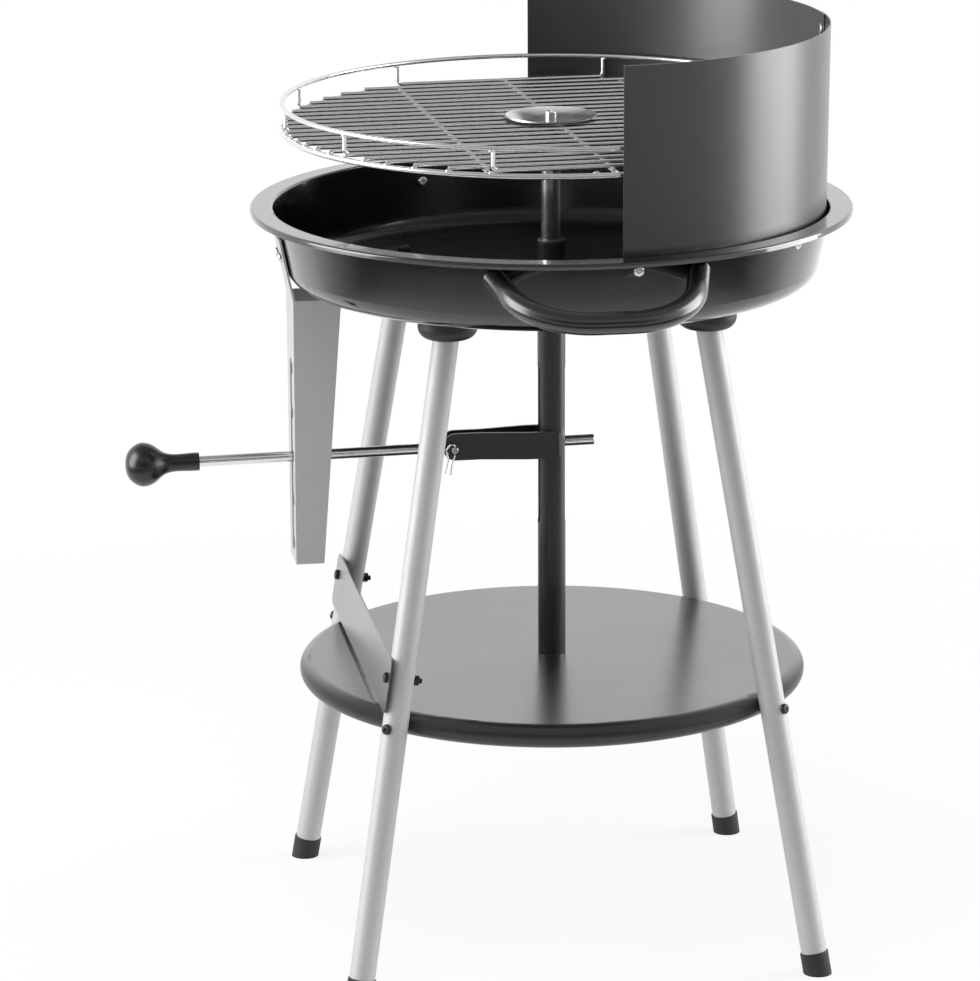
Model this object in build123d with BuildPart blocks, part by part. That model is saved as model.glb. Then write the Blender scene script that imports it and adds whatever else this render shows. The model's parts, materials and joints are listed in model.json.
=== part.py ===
from build123d import *
import os
from math import asin, atan, cos, degrees, hypot, radians, sin, sqrt, tan

# A round charcoal grill on four splayed legs. A hand lever on the front tilts in a yoke on the centre
# post and lifts a round wire grate inside a half windscreen. Millimetres, +Z up, the origin on the floor
# under the centre post, the lever towards -Y and the carrying handles on +X and -X.

os.makedirs("parts", exist_ok=True)

# Clearances
running_gap = 0.05      # round pieces that slide or turn in each other
hole_gap = 0.15         # a screw in its hole, a plug in its tube
seat_gap = 0.1          # pieces that are clamped or rest against each other
weld_sink = 0.2         # how far welded wires sink into each other

# Bowl
rim_height = 690.0
rim_radius = 277.0
rim_lip = 5.0
rim_bend = 2.5
rim_width = 21.0        # from the bowl's mouth to the rim's outer edge
bowl_depth = 69.0
wall_draft = 11.8       # degrees that the wall leans outward
bowl_corner = 20.0
bowl_sheet = 1.2

# Legs, feet and leg sockets
leg_radius = 11.8
leg_wall = 1.5
foot_half_x = 204.8
foot_half_y = 212.8
socket_margin = 60.6    # from a socket's middle to the edge of the bowl's floor
socket_turn = 39.9      # degrees from the handles' side to a socket
socket_radius = 27.0
socket_height = 21.5
socket_round = 11.0
socket_roof = 9.0
foot_radius = 13.0
foot_length = 21.0
foot_base = 5.0
foot_round = 1.5

# Shelf and front plate
shelf_top = 259.3
shelf_thickness = 22.2
shelf_edge_flat = 0.1   # what is left straight of the rounded edge
plate_end = 13.7404         # from a front leg's middle to the plate's end
plate_height = 50.0
plate_sheet = 1.5
plate_above = 27.7      # the plate's middle above the shelf's top
plate_corner = 8.0
plate_bolt_raise = 6.0  # the bolts sit this much above the plate's middle

# Centre post and lift tube
post_radius = 13.0
post_wall = 1.5
post_rise = 32.0        # the post stands this much above the bowl's floor
post_slot_spare = 11.0  # spare length at each end of the post's slots
bush_flange = 2.5
bush_length = 30.0
plug_length = 26.0
lift_radius = 9.4
lift_wall = 1.5
lift_tail = 77.0        # the lift tube reaches this much below the pivot pin
lift_error = 1.4        # most that an even lift strays from the rod's true height

# Lever, yoke and notched bracket
lever_drop = 228.0      # the pivot pin below the rim
lever_rest = 0.8        # degrees that the knob hangs below level
lever_radius = 5.0
lever_chamfer = 0.6
lever_tail = 40.0       # how far the rod reaches past the post's axis
pivot_reach = 92.7      # from the post's axis to the pivot pin
pin_radius = 3.0
pin_head_radius = 5.0
pin_head = 2.0
pin_tail = 6.5
cotter_radius = 0.8
cotter_tail = ((-9.6, -22.5), (-6.0, -10.2), (-8.1, 0.0))   # its wavy leg, from the pin's middle
cotter_loop = ((-3.9, 5.4), (0.0, 4.6))                     # its bend over the pin
cotter_leg = ((0.0, -6.0), (-3.0, -13.8), (-4.2, -24.0))    # its straight leg through the pin
yoke_height = 25.5
yoke_raise = 1.6        # the yoke's middle stands this much above the pin
yoke_sheet = 2.5
yoke_back = 4.0
yoke_bend_back = 24.0   # from the post's axis to the plates' first bend
yoke_bend_front = 67.0  # and to their second
yoke_nose = 10.5
yoke_gap = 0.6          # between the rod and each yoke plate
yoke_round = 12.0
yoke_back_round = 3.0
bracket_sheet = 2.0
bracket_below = 100.0   # the bracket's foot below the pivot pin
bracket_bend_drop = 7.8
bracket_top_drop = 22.0
bracket_half_top = 28.0
bracket_half_bottom = 22.0
bracket_tab_half = 24.0
bracket_depth_top = 42.0
bracket_depth_bottom = 24.0
notch_count = 5
notch_pitch = 41.5
notch_side = 8.0
slot_play = 0.6         # round the rod in the bracket's slot and its notches
knob_tip = 397.0        # from the post's axis to the knob's tip
knob_length = 67.6
knob_radius = 20.3
knob_nose = 15.1
knob_waist_radius = 10.6
knob_waist = 35.0
knob_neck_radius = 8.35
knob_neck_slope = 0.05
knob_bore = 40.0

# Handles
handle_radius = 10.0
handle_half_span = 91.0
handle_overhang = 43.0  # from the rim's edge to the middle of the grip
handle_end_drop = 18.0  # the middle of each end below the rim
handle_droop = 16.5     # degrees below level
handle_grip_half = 69.6
handle_bend = 69.8
handle_bend_most = 0.95 # the bends take up no more than this share of the grip
handle_bolt_inset = 5.0
handle_bolt_drop = 5.0  # the bolt sits this much under the middle of the grip's end
handle_bolt_depth = 9.0

# Windscreen
screen_sheet = 1.0
screen_sink = 17.5      # the sheets reach this much below the rim
screen_rise = 185.5
screen_flare = 2.2
screen_start = 4.6      # degrees from +X or -X to the front edge
screen_overlap = 2.2    # degrees past the seam at the back
screen_screw_drop = 12.5
screen_screw_angles = (7.6, 49.7)
seam_drop = 15.0        # the rivet below the top edge

# Grate
grate_turn = 2.7        # degrees that the grate stands turned
ring_margin = 10.0      # from the ring's middle to the bowl's mouth
grate_rise = 71.0       # the ring above the rim
ring_wire = 2.6
rail_rise = 24.0
rail_wire = 2.2
bar_wire = 2.0
bar_pitch = 20.4
bar_margin = 12.0       # least distance from the last bar to the ring
bar_short = 0.5         # bar ends short of the ring's middle
riser_bend = 5.0
cross_wire = 2.5
cross_pitch = 108.0
cross_shift = 6.2
hub_radius = 26.0
hub_below = 2.0         # hub metal under the middle cross wire
seat_thickness = 3.0
seat_spigot = 30.0
disc_radius = 42.0
disc_sheet = 1.5
disc_dish = 3.0
disc_cap_radius = 5.3
disc_cap = 6.0

# Screws and nuts: head radius, head height, shank radius, nut across flats, nut height
screw_head_radius = 4.8
screw_head = 3.2
screw_shank = 2.5
head_round = 0.6        # share of a head's height that is rounded
nut_flats = 8.0
nut_height = 4.0
bolt_head_radius = 6.0
bolt_head = 4.0
bolt_shank = 3.0
shelf_screw_bite = 24.0

corners = {
    "front_right": (1, -1),
    "front_left": (-1, -1),
    "rear_right": (1, 1),
    "rear_left": (-1, 1),
}

# The bowl's wall: its lean, and its inner and outer radius at a height
floor_top = rim_height - bowl_depth
underside = floor_top - bowl_sheet
wall_lean = radians(wall_draft)
wall_slope = tan(wall_lean)
mouth_radius = rim_radius - rim_width
bowl_floor_radius = mouth_radius - bowl_depth * wall_slope

# What stands on the bowl or reaches over its rim follows its radius
socket_reach = bowl_floor_radius - socket_margin
socket_half_x = socket_reach * cos(radians(socket_turn))
socket_half_y = socket_reach * sin(radians(socket_turn))
handle_reach = rim_radius + handle_overhang
ring_radius = mouth_radius - ring_margin


def wall_inner(z):
    return bowl_floor_radius + (z - floor_top) * wall_slope


def wall_outer(z):
    return wall_inner(z) + bowl_sheet / cos(wall_lean)


def hollow_gap(half_width, radius):
    """How far a flat face of this half width stands off the inside of a round wall."""
    return half_width**2 / (2 * radius) + seat_gap


def wall_plane(angle, z, radius):
    """A plane on the bowl's wall that faces outward, square to the leaning wall."""
    a = radians(angle)
    out = cos(wall_lean)
    return Plane(
        origin=(radius * cos(a), radius * sin(a), z),
        z_dir=(out * cos(a), out * sin(a), -sin(wall_lean)),
    )


# Heights that follow the rim, the bowl's floor, the shelf and the pivot pin
lever_height = rim_height - lever_drop
post_top = floor_top + post_rise
plate_middle = shelf_top + plate_above
bracket_bottom = lever_height - bracket_below
bracket_bend = underside - bracket_bend_drop
bracket_top = rim_height - bracket_top_drop
lift_bottom = lever_height - lift_tail
handle_end_height = rim_height - handle_end_drop
screen_bottom = rim_height - screen_sink
screen_top = screen_bottom + screen_rise
screen_screw_height = rim_height - screen_screw_drop
seam_screw_height = screen_top - seam_drop
ring_height = rim_height + grate_rise
rail_height = ring_height + rail_rise

# The rod's slots: the end notches of the bracket set how far the lever tilts
bracket_y = -(wall_outer(bracket_bend) + seat_gap)
slot_half = lever_radius + slot_play
notch_span = (notch_count - 1) * notch_pitch
tilt_limit = atan(notch_span / 2 / (-bracket_y - pivot_reach))
rod_half = lever_radius / cos(tilt_limit)
post_slot = 2 * ((pivot_reach + post_radius) * tan(tilt_limit) + rod_half + post_slot_spare)
bracket_slot = notch_span + 2 * (rod_half + bracket_sheet + slot_play)


# A leg's middle line runs from the floor to the bowl's underside
def leg_point(side, z):
    sx, sy = side
    t = z / underside
    x = foot_half_x + (socket_half_x - foot_half_x) * t
    y = foot_half_y + (socket_half_y - foot_half_y) * t
    return Vector(sx * x, sy * y, z)


def leg_direction(side):
    return (leg_point(side, underside) - leg_point(side, 0)).normalized()


# The shelf's round edge just meets the legs, and a screw square to each leg holds it
shelf_middle = shelf_top - shelf_thickness / 2
shelf_edge = (shelf_thickness - shelf_edge_flat) / 2
leg_reach = hypot(leg_point((1, 1), shelf_middle).X, leg_point((1, 1), shelf_middle).Y)
leg_reach_foot = hypot(foot_half_x, foot_half_y)
leg_lean = atan((leg_reach_foot - socket_reach) / underside)
shelf_radius = leg_reach + shelf_edge - (leg_radius + shelf_edge) / cos(leg_lean) - seat_gap


def shelf_screw_plane(side):
    middle = leg_point(side, shelf_middle)
    level = Vector(middle.X, middle.Y, 0).normalized()
    square = level * cos(leg_lean) + Vector(0, 0, sin(leg_lean))
    return Plane(origin=middle + square * (leg_radius + seat_gap), z_dir=square)


# The front plate lies against the two front legs and leans with them
plate_legs = [corners["front_left"], corners["front_right"]]
plate_tilt = leg_direction(corners["front_right"])
plate_normal = Vector(0, -plate_tilt.Z, plate_tilt.Y).normalized()
plate_leg = leg_point(corners["front_right"], plate_middle)
plate_length = 2 * (plate_leg.X + plate_end)
plate_back = Plane(
    origin=Vector(0, plate_leg.Y, plate_leg.Z) + plate_normal * (leg_radius + seat_gap),
    x_dir=(1, 0, 0),
    z_dir=plate_normal,
)


def plate_bolt_plane(side):
    middle = leg_point(side, plate_middle + plate_bolt_raise)
    reach = leg_radius + seat_gap + plate_sheet
    return Plane(origin=middle + plate_normal * reach, z_dir=plate_normal)


def save(piece, name):
    piece.label = name
    export_step(piece, f"parts/{name}.step")


def screw(head_radius, head_height, shank_radius, shank_length):
    """A round-headed screw: its head stands on Z = 0 and its shank points down."""
    with BuildPart() as made:
        Cylinder(head_radius, head_height, align=(Align.CENTER, Align.CENTER, Align.MIN))
        fillet(made.edges().group_by(Axis.Z)[-1], head_round * head_height)
        Cylinder(shank_radius, shank_length, align=(Align.CENTER, Align.CENTER, Align.MAX))
    return made.part


def nut(flats, height, bore, grip):
    """A domed hexagon nut whose face lies at the grip's depth below Z = 0."""
    with BuildPart() as made:
        with BuildSketch(Plane.XY.offset(-grip)):
            RegularPolygon(flats / 2, 6, major_radius=False)
        extrude(amount=-height)
        with BuildSketch(Plane.XY.offset(-grip)):
            Circle(bore)
        extrude(amount=-height, mode=Mode.SUBTRACT)
    return made.part


def bore_on(planes, radius, depth):
    """Plain round cutters, centred on planes, for holes that several pieces share."""
    with BuildPart() as made:
        with Locations(*planes):
            Cylinder(radius, 2 * depth)
    return made.part


# Bowl fixings: where the windscreen, the handles, the bracket and the sockets are fastened
screen_screw_planes = [
    wall_plane(angle, screen_screw_height, wall_outer(screen_screw_height))
    for angle in (*screen_screw_angles, *[180 - angle for angle in screen_screw_angles])
]
handle_bolt_height = handle_end_height - handle_bolt_drop
handle_bolt_reach = handle_half_span - handle_bolt_inset
handle_bolt_wall = wall_inner(handle_bolt_height)
handle_bolt_angle = degrees(asin(handle_bolt_reach / handle_bolt_wall))
handle_bolt_gap = hollow_gap(screw_head_radius, handle_bolt_wall)
handle_bolt_faces = [
    wall_plane(middle + turn, handle_bolt_height, handle_bolt_wall).offset(-handle_bolt_gap)
    for middle in (0, 180)
    for turn in (-handle_bolt_angle, handle_bolt_angle)
]
handle_bolt_planes = [Plane(origin=face.origin, z_dir=-face.z_dir) for face in handle_bolt_faces]
handle_bolt_length = handle_bolt_gap + bowl_sheet + seat_gap + handle_bolt_depth
bracket_screw_height = (bracket_bend + bowl_corner + bracket_top) / 2
bracket_screw_side = bracket_tab_half / 2
bracket_face = wall_outer(bracket_screw_height) + seat_gap + bracket_sheet / cos(wall_lean)
bracket_screw_planes = [
    Plane(
        origin=(side * bracket_screw_side, -bracket_face, bracket_screw_height),
        z_dir=(0, -cos(wall_lean), -sin(wall_lean)),
    )
    for side in (-1, 1)
]
socket_middles = {
    name: leg_point(side, underside - socket_height / 2) for name, side in corners.items()
}
socket_bolt_planes = [Plane.XY.move(Location((p.X, p.Y, floor_top))) for p in socket_middles.values()]

# Bowl: one pressed sheet with a rolled rim
with BuildPart() as bowl:
    with BuildSketch(Plane.XZ):
        with BuildLine():
            FilletPolyline(
                (post_radius + hole_gap, floor_top),
                (bowl_floor_radius, floor_top),
                (mouth_radius, rim_height),
                (rim_radius, rim_height),
                (rim_radius, rim_height - rim_lip),
                radius=(bowl_corner, rim_bend, rim_bend),
            )
            offset(amount=bowl_sheet, side=Side.RIGHT)
        make_face()
    revolve(axis=Axis.Z)
    add(bore_on(screen_screw_planes, screw_shank + hole_gap, leg_radius), mode=Mode.SUBTRACT)
    add(bore_on(handle_bolt_planes, screw_shank + hole_gap, leg_radius), mode=Mode.SUBTRACT)
    add(bore_on(bracket_screw_planes, screw_shank + hole_gap, leg_radius), mode=Mode.SUBTRACT)
    add(bore_on(socket_bolt_planes, bolt_shank + hole_gap, leg_radius), mode=Mode.SUBTRACT)
save(bowl.part, "bowl")

# Legs, feet and sockets, one of each at every corner
for name, side in corners.items():
    foot_point = leg_point(side, 0)
    direction = leg_direction(side)
    leg_plane = Plane(origin=foot_point, z_dir=direction)
    leg_end = (underside - socket_roof) / direction.Z

    with BuildPart() as leg:
        with BuildSketch(leg_plane.offset(foot_base)):
            Circle(leg_radius)
            Circle(leg_radius - leg_wall, mode=Mode.SUBTRACT)
        extrude(amount=leg_end - foot_base)
        add(
            bore_on([shelf_screw_plane(side)], screw_shank + hole_gap, 3 * leg_radius),
            mode=Mode.SUBTRACT,
        )
        if side in plate_legs:
            add(
                bore_on([plate_bolt_plane(side)], screw_shank + hole_gap, 3 * leg_radius),
                mode=Mode.SUBTRACT,
            )
    save(leg.part, f"leg_{name}")

    with BuildPart() as foot:
        with BuildSketch(leg_plane.offset(-foot_radius)):
            Circle(foot_radius)
        extrude(amount=foot_length + foot_radius)
        fillet(foot.edges().group_by(Axis.Z)[-1], foot_round)
        with BuildSketch(leg_plane.offset(foot_base)):
            Circle(leg_radius + seat_gap)
        extrude(amount=foot_length, mode=Mode.SUBTRACT)
        split(bisect_by=Plane.XY, keep=Keep.TOP)
    save(foot.part, f"foot_{name}")

    middle = socket_middles[name]
    with BuildPart() as socket:
        with Locations((middle.X, middle.Y, underside - seat_gap)):
            Cylinder(
                socket_radius,
                socket_height - seat_gap,
                align=(Align.CENTER, Align.CENTER, Align.MAX),
            )
        fillet(socket.edges().group_by(Axis.Z)[0], socket_round)
        with BuildSketch(leg_plane.offset(leg_end - 2 * socket_height)):
            Circle(leg_radius + seat_gap)
        extrude(amount=2 * socket_height + seat_gap, mode=Mode.SUBTRACT)
        with Locations((middle.X, middle.Y, underside)):
            Cylinder(
                bolt_shank + hole_gap,
                socket_roof / 2,
                align=(Align.CENTER, Align.CENTER, Align.MAX),
                mode=Mode.SUBTRACT,
            )
    save(socket.part, f"leg_socket_{name}")

with BuildPart() as socket_bolts:
    with Locations(*socket_bolt_planes):
        add(screw(bolt_head_radius, bolt_head, bolt_shank, bowl_sheet + socket_roof / 2 - hole_gap))
save(socket_bolts.part, "socket_bolts")

# Shelf: a round board with a full-round edge. The cutters of its screw holes are turned, so that their
# seams stand upright and cross the edge cleanly
shelf_screw_planes = [shelf_screw_plane(side) for side in corners.values()]
shelf_screw_length = 2 * leg_radius + shelf_screw_bite
with BuildPart() as shelf:
    with Locations((0, 0, shelf_middle)):
        Cylinder(shelf_radius, shelf_thickness)
    fillet(shelf.edges().filter_by(GeomType.CIRCLE), shelf_edge)
    with Locations(*shelf_screw_planes):
        Cylinder(
            screw_shank + hole_gap,
            2 * (shelf_screw_length + hole_gap),
            rotation=(0, 0, 90),
            mode=Mode.SUBTRACT,
        )
    with Locations((0, 0, shelf_middle)):
        Cylinder(bolt_shank + hole_gap, 2 * shelf_thickness, mode=Mode.SUBTRACT)
save(shelf.part, "shelf")

with BuildPart() as shelf_screws:
    with Locations(*shelf_screw_planes):
        add(screw(screw_head_radius, screw_head, screw_shank, shelf_screw_length))
save(shelf_screws.part, "shelf_screws")

# Front plate between the front legs, with its bolts and nuts
plate_bolt_planes = [plate_bolt_plane(side) for side in plate_legs]
plate_grip = plate_sheet + 2 * leg_radius + seat_gap
with BuildPart() as front_plate:
    with BuildSketch(plate_back):
        RectangleRounded(plate_length, plate_height, plate_corner)
    extrude(amount=plate_sheet)
    add(bore_on(plate_bolt_planes, screw_shank + hole_gap, leg_radius), mode=Mode.SUBTRACT)
save(front_plate.part, "front_plate")

with BuildPart() as plate_bolts:
    with Locations(*plate_bolt_planes):
        add(screw(screw_head_radius, screw_head, screw_shank, plate_grip + nut_height + bolt_shank))
save(plate_bolts.part, "plate_bolts")

with BuildPart() as plate_nuts:
    with Locations(*plate_bolt_planes):
        add(nut(nut_flats, nut_height, screw_shank + running_gap, plate_grip + seat_gap))
save(plate_nuts.part, "plate_nuts")

# Centre post: a slotted tube from the shelf up through the bowl's floor
with BuildPart() as post_tube:
    with BuildSketch(Plane.XY.offset(shelf_top)):
        Circle(post_radius)
        Circle(post_radius - post_wall, mode=Mode.SUBTRACT)
    extrude(amount=post_top - shelf_top)
    with BuildSketch(Plane.XZ):
        with Locations((0, lever_height)):
            SlotOverall(post_slot, 2 * slot_half, rotation=90)
    extrude(amount=2 * post_radius, both=True, mode=Mode.SUBTRACT)
save(post_tube.part, "post_tube")

with BuildPart() as guide_bush:
    with Locations((0, 0, post_top)):
        Cylinder(post_radius, bush_flange, align=(Align.CENTER, Align.CENTER, Align.MIN))
        Cylinder(
            post_radius - post_wall - running_gap,
            bush_length,
            align=(Align.CENTER, Align.CENTER, Align.MAX),
        )
        Cylinder(lift_radius + running_gap, 3 * bush_length, mode=Mode.SUBTRACT)
    fillet(guide_bush.edges().group_by(Axis.Z)[-1].sort_by(SortBy.RADIUS)[-1], bush_flange / 2)
save(guide_bush.part, "guide_bush")

post_bolt_length = shelf_thickness + plug_length / 2
with BuildPart() as post_plug:
    with Locations((0, 0, shelf_top)):
        Cylinder(
            post_radius - post_wall - running_gap,
            plug_length,
            align=(Align.CENTER, Align.CENTER, Align.MIN),
        )
        Cylinder(bolt_shank + running_gap, plug_length + hole_gap, mode=Mode.SUBTRACT)
save(post_plug.part, "post_plug")

with BuildPart() as post_bolt:
    with Locations(Plane(origin=(0, 0, shelf_top - shelf_thickness), z_dir=(0, 0, -1))):
        add(screw(bolt_head_radius, bolt_head, bolt_shank, post_bolt_length))
save(post_bolt.part, "post_bolt")

# Yoke: two bent plates on the post's flanks that close in on the lever's rod at the pivot
pivot_y = -pivot_reach
yoke_inner = lever_radius + yoke_gap
yoke_end = pivot_reach + yoke_nose
yoke_middle = lever_height + yoke_raise
for name, turn in (("yoke_plate_right", 1), ("yoke_plate_left", -1)):
    with BuildPart() as yoke_plate:
        with BuildSketch(Plane.XY.offset(yoke_middle - yoke_height / 2)):
            with BuildLine():
                FilletPolyline(
                    (turn * post_radius, yoke_back),
                    (turn * post_radius, -yoke_bend_back),
                    (turn * yoke_inner, -yoke_bend_front),
                    (turn * yoke_inner, -yoke_end),
                    radius=2 * yoke_sheet,
                )
                offset(amount=yoke_sheet, side=Side.LEFT if turn > 0 else Side.RIGHT)
            make_face()
        extrude(amount=yoke_height)
        fillet(yoke_plate.edges().filter_by(Axis.X).group_by(Axis.Y)[0], yoke_round)
        fillet(yoke_plate.edges().filter_by(Axis.X).group_by(Axis.Y)[-1], yoke_back_round)
        with Locations(Plane(origin=(0, pivot_y, lever_height), z_dir=(1, 0, 0))):
            Cylinder(pin_radius + running_gap, 4 * post_radius, mode=Mode.SUBTRACT)
    save(yoke_plate.part, name)

# Pivot pin with its head on the left and a bent wire cotter through its right end
pin_left = -(yoke_inner + yoke_sheet + seat_gap)
pin_right = -pin_left + pin_tail
cotter_x = -pin_left + pin_tail / 2
with BuildPart() as pivot_pin:
    with BuildSketch(Plane(origin=(pin_left, pivot_y, lever_height), z_dir=(1, 0, 0))):
        Circle(pin_radius)
    extrude(amount=pin_right - pin_left)
    fillet(pivot_pin.edges().group_by(Axis.X)[-1], pin_radius / 4)
    with BuildSketch(Plane(origin=(pin_left, pivot_y, lever_height), z_dir=(-1, 0, 0))):
        Circle(pin_head_radius)
    extrude(amount=pin_head)
    with Locations((cotter_x, pivot_y, lever_height)):
        Cylinder(cotter_radius + hole_gap, 4 * pin_radius, mode=Mode.SUBTRACT)
save(pivot_pin.part, "pivot_pin")

cotter_plane = Plane(origin=(cotter_x, pivot_y, lever_height), x_dir=(0, 1, 0), z_dir=(1, 0, 0))
with BuildPart() as cotter_pin:
    with BuildLine(cotter_plane) as cotter_line:
        FilletPolyline(*cotter_tail, *cotter_loop, *cotter_leg, radius=2 * cotter_radius)
    with BuildSketch(Plane(origin=cotter_line.line @ 0, z_dir=cotter_line.line % 0)):
        Circle(cotter_radius)
    sweep()
save(cotter_pin.part, "cotter_pin")

# Notched bracket: a tapered channel under the bowl's rim with a slot for the rod and a row of notches
bracket_rise = bracket_bend - bracket_bottom
fold_x = (bracket_half_top - bracket_half_bottom) / bracket_rise
tab_length = (bracket_top - bracket_bend) / cos(wall_lean)
tab_plane = Plane(
    origin=(0, bracket_y, bracket_bend),
    x_dir=(1, 0, 0),
    z_dir=(0, -cos(wall_lean), -sin(wall_lean)),
)
with BuildPart() as bracket:
    with BuildSketch(Plane(origin=(0, bracket_y, 0), x_dir=(1, 0, 0), z_dir=(0, -1, 0))):
        Polygon(
            (-bracket_half_bottom, bracket_bottom),
            (bracket_half_bottom, bracket_bottom),
            (bracket_half_top, bracket_bend),
            (-bracket_half_top, bracket_bend),
            align=None,
        )
        with Locations((0, lever_height)):
            SlotOverall(bracket_slot, 2 * slot_half, rotation=90, mode=Mode.SUBTRACT)
        with GridLocations(0, notch_pitch, 1, notch_count):
            with Locations((notch_side / 2, lever_height)):
                SlotCenterToCenter(notch_side, 2 * slot_half, mode=Mode.SUBTRACT)
    extrude(amount=bracket_sheet)
    with BuildSketch(tab_plane):
        Polygon(
            (-bracket_half_top, -bracket_sheet * wall_slope),
            (bracket_half_top, -bracket_sheet * wall_slope),
            (bracket_tab_half, bowl_corner),
            (bracket_tab_half, tab_length),
            (-bracket_tab_half, tab_length),
            (-bracket_tab_half, bowl_corner),
            align=None,
        )
    extrude(amount=bracket_sheet)
    for turn in (-1, 1):
        flange_plane = Plane(
            origin=(turn * bracket_half_bottom, bracket_y, bracket_bottom),
            x_dir=(0, 1, 0),
            z_dir=(1, 0, -turn * fold_x),
        )
        fold_length = hypot(bracket_rise, bracket_half_top - bracket_half_bottom)
        with BuildSketch(flange_plane):
            Polygon(
                (-bracket_sheet, 0),
                (bracket_depth_bottom, 0),
                (bracket_depth_top, fold_length),
                (-bracket_sheet, fold_length),
                align=None,
            )
        extrude(amount=-turn * bracket_sheet)
    add(bore_on(bracket_screw_planes, screw_shank + hole_gap, leg_radius), mode=Mode.SUBTRACT)
save(bracket.part, "notch_bracket")

bracket_bow = bracket_screw_side**2 / wall_outer(bracket_screw_height)
bracket_grip = bracket_sheet + seat_gap + bowl_sheet + bracket_bow
with BuildPart() as bracket_screws:
    with Locations(*bracket_screw_planes):
        add(screw(screw_head_radius, screw_head, screw_shank, bracket_grip + nut_height + bolt_shank))
save(bracket_screws.part, "bracket_screws")

with BuildPart() as bracket_nuts:
    with Locations(*bracket_screw_planes):
        add(nut(nut_flats, nut_height, screw_shank + running_gap, bracket_grip + seat_gap))
save(bracket_nuts.part, "bracket_nuts")

# Lever: a round rod through the bracket, the yoke and the post, with a knob on its front end
rest = radians(lever_rest)
lever_axis = Vector(0, cos(rest), sin(rest))
pivot = Vector(0, pivot_y, lever_height)
knob_nose_point = pivot - lever_axis * (knob_tip - pivot_reach)
knob_neck_point = knob_nose_point + lever_axis * knob_length
rod_length = knob_tip - knob_length + knob_bore - seat_gap + lever_tail
with BuildPart() as lever_rod:
    with BuildSketch(Plane(origin=pivot + lever_axis * (pivot_reach + lever_tail), z_dir=-lever_axis)):
        Circle(lever_radius)
    extrude(amount=rod_length)
    chamfer(lever_rod.edges().group_by(Axis.Y)[-1], lever_chamfer)
    with Locations(Plane(origin=pivot, z_dir=(1, 0, 0))):
        Cylinder(pin_radius + running_gap, 4 * lever_radius, mode=Mode.SUBTRACT)
save(lever_rod.part, "lever_rod")

with BuildPart() as lever_knob:
    with BuildSketch(Plane(origin=knob_nose_point, x_dir=lever_axis, z_dir=(1, 0, 0))):
        with BuildLine():
            ThreePointArc(
                (0, 0),
                (knob_nose * (1 - sqrt(0.5)), knob_radius * sqrt(0.5)),
                (knob_nose, knob_radius),
            )
            Spline(
                (knob_nose, knob_radius),
                (knob_waist, knob_waist_radius),
                (knob_length, knob_neck_radius),
                tangents=((1, 0), (1, -knob_neck_slope)),
            )
            Line((knob_length, knob_neck_radius), (knob_length, 0))
            Line((knob_length, 0), (0, 0))
        make_face()
    revolve(axis=Axis(knob_nose_point, lever_axis))
    with BuildSketch(Plane(origin=knob_neck_point, z_dir=-lever_axis)):
        Circle(lever_radius + seat_gap)
    extrude(amount=knob_bore, mode=Mode.SUBTRACT)
save(lever_knob.part, "lever_knob")

# Handles: a bowed grip on each side, cut to the bowl's wall and drooping a little
droop = radians(handle_droop)
handle_start = sqrt(wall_inner(handle_end_height) ** 2 - handle_half_span**2)
handle_out = (handle_reach - handle_start) / cos(droop)
handle_turn = radians(90) - atan((handle_half_span - handle_grip_half) / handle_out)
handle_bend_room = handle_bend_most * min(handle_grip_half, handle_out) / tan(handle_turn / 2)
for name, turn in (("handle_right", 1), ("handle_left", -1)):
    grip_plane = Plane(
        origin=(turn * handle_start, 0, handle_end_height),
        x_dir=(turn * cos(droop), 0, -sin(droop)),
        z_dir=(turn * sin(droop), 0, cos(droop)),
    )
    with BuildPart() as handle:
        with BuildLine(grip_plane) as grip_line:
            FilletPolyline(
                (0, -handle_half_span),
                (handle_out, -handle_grip_half),
                (handle_out, handle_grip_half),
                (0, handle_half_span),
                radius=min(handle_bend, handle_bend_room),
            )
        with BuildSketch(Plane(origin=grip_line.line @ 0, z_dir=grip_line.line % 0)):
            Circle(handle_radius)
        sweep()
        with Locations((0, 0, underside)):
            Cone(
                wall_outer(underside) + seat_gap,
                wall_outer(rim_height) + seat_gap,
                bowl_depth + bowl_sheet,
                align=(Align.CENTER, Align.CENTER, Align.MIN),
                mode=Mode.SUBTRACT,
            )
        add(
            bore_on(handle_bolt_planes, screw_shank + running_gap, handle_bolt_length + hole_gap),
            mode=Mode.SUBTRACT,
        )
    save(handle.part, name)

with BuildPart() as handle_bolts:
    with Locations(*handle_bolt_planes):
        add(screw(screw_head_radius, screw_head, screw_shank, handle_bolt_length))
save(handle_bolts.part, "handle_bolts")

# Windscreen: two flared half sheets inside the rim that overlap at the back
screen_lean = atan(screen_flare / screen_rise)
screen_foot = wall_inner(screen_bottom) - seat_gap


def screen_outer(z):
    return screen_foot + (z - screen_bottom) * screen_flare / screen_rise


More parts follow.
